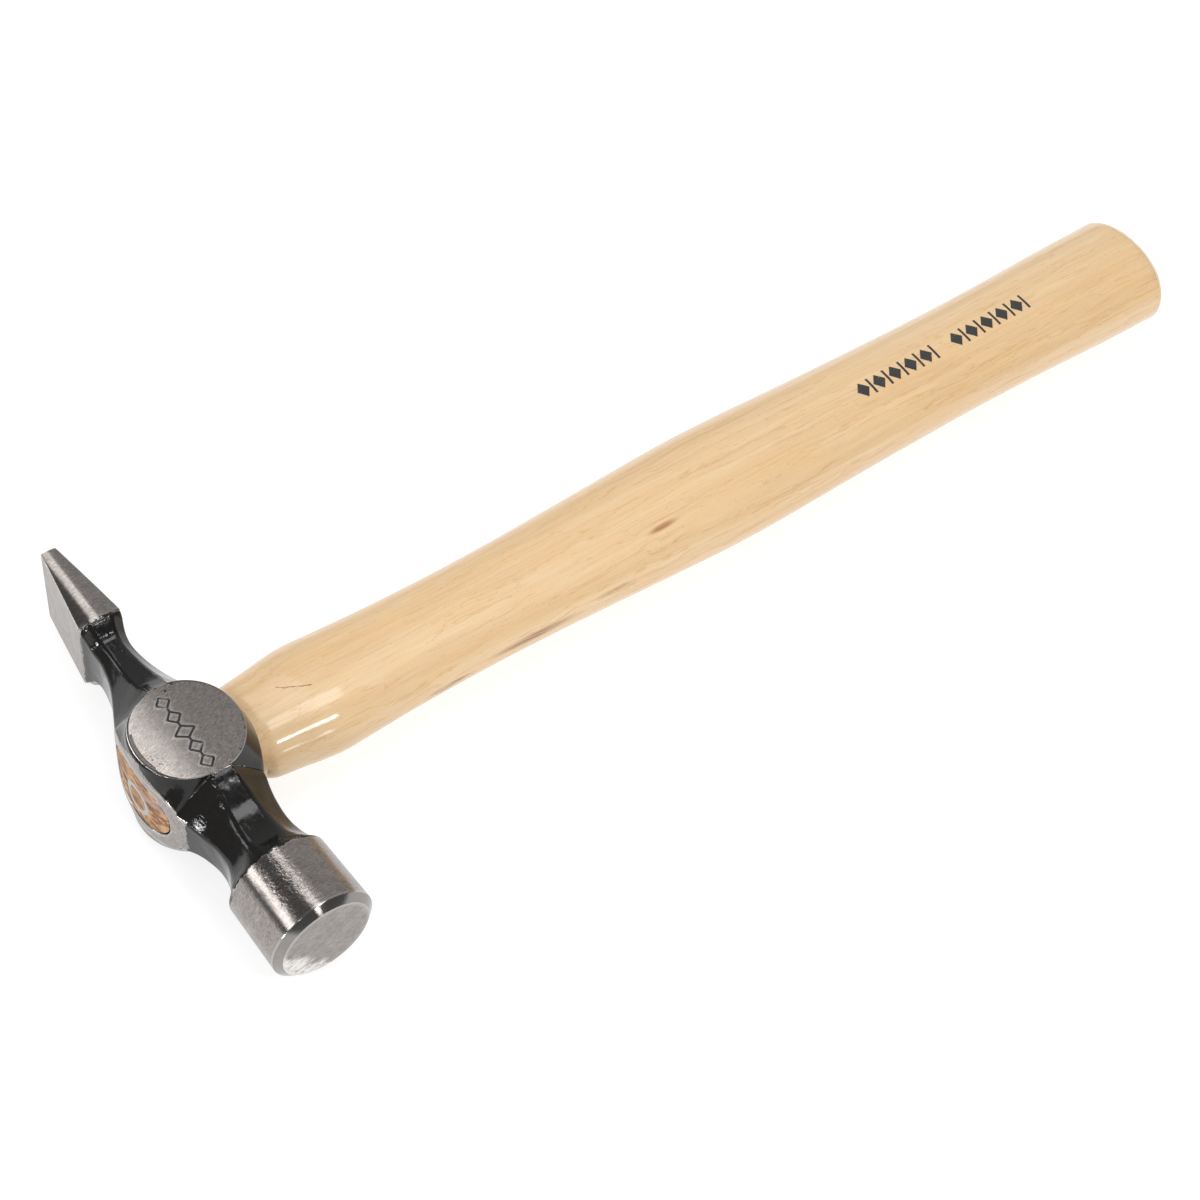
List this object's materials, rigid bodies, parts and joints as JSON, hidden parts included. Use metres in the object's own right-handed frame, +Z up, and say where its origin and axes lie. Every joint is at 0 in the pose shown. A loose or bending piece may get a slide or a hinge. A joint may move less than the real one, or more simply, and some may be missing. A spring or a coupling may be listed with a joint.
{
  "type": "cross-pein hammer",
  "caption": "Light cross-pein hammer: forged head with round striking face, wedge-shaped cross pein and ground cheeks on an oval hickory handle, held by a wooden and a ring wedge.",
  "frame": {"origin": "the middle of the bounding box in X and Y, on the plane that the hammer's lower cheek rests on", "axes": "+X out of the striking face along the head, +Y along the handle from the head to the butt, +Z up out of the upper cheek"},
  "size_m": [0.1192, 0.3206, 0.03],
  "materials": {
    "forged_steel": "ground on the face, barrel, pein and cheeks, glossy black lacquer on the necks and eye block",
    "lacquered_hickory": "clear gloss lacquer over pale straight-grained hickory",
    "wedge_wood": "bare end grain, ground flush",
    "wedge_steel": "ground flush"
  },
  "bodies": {
    "root": {"hammer_head": "forged_steel", "hickory_handle": "lacquered_hickory", "wooden_wedge": "wedge_wood", "steel_ring_wedge": "wedge_steel"}
  },
  "joints": []
}
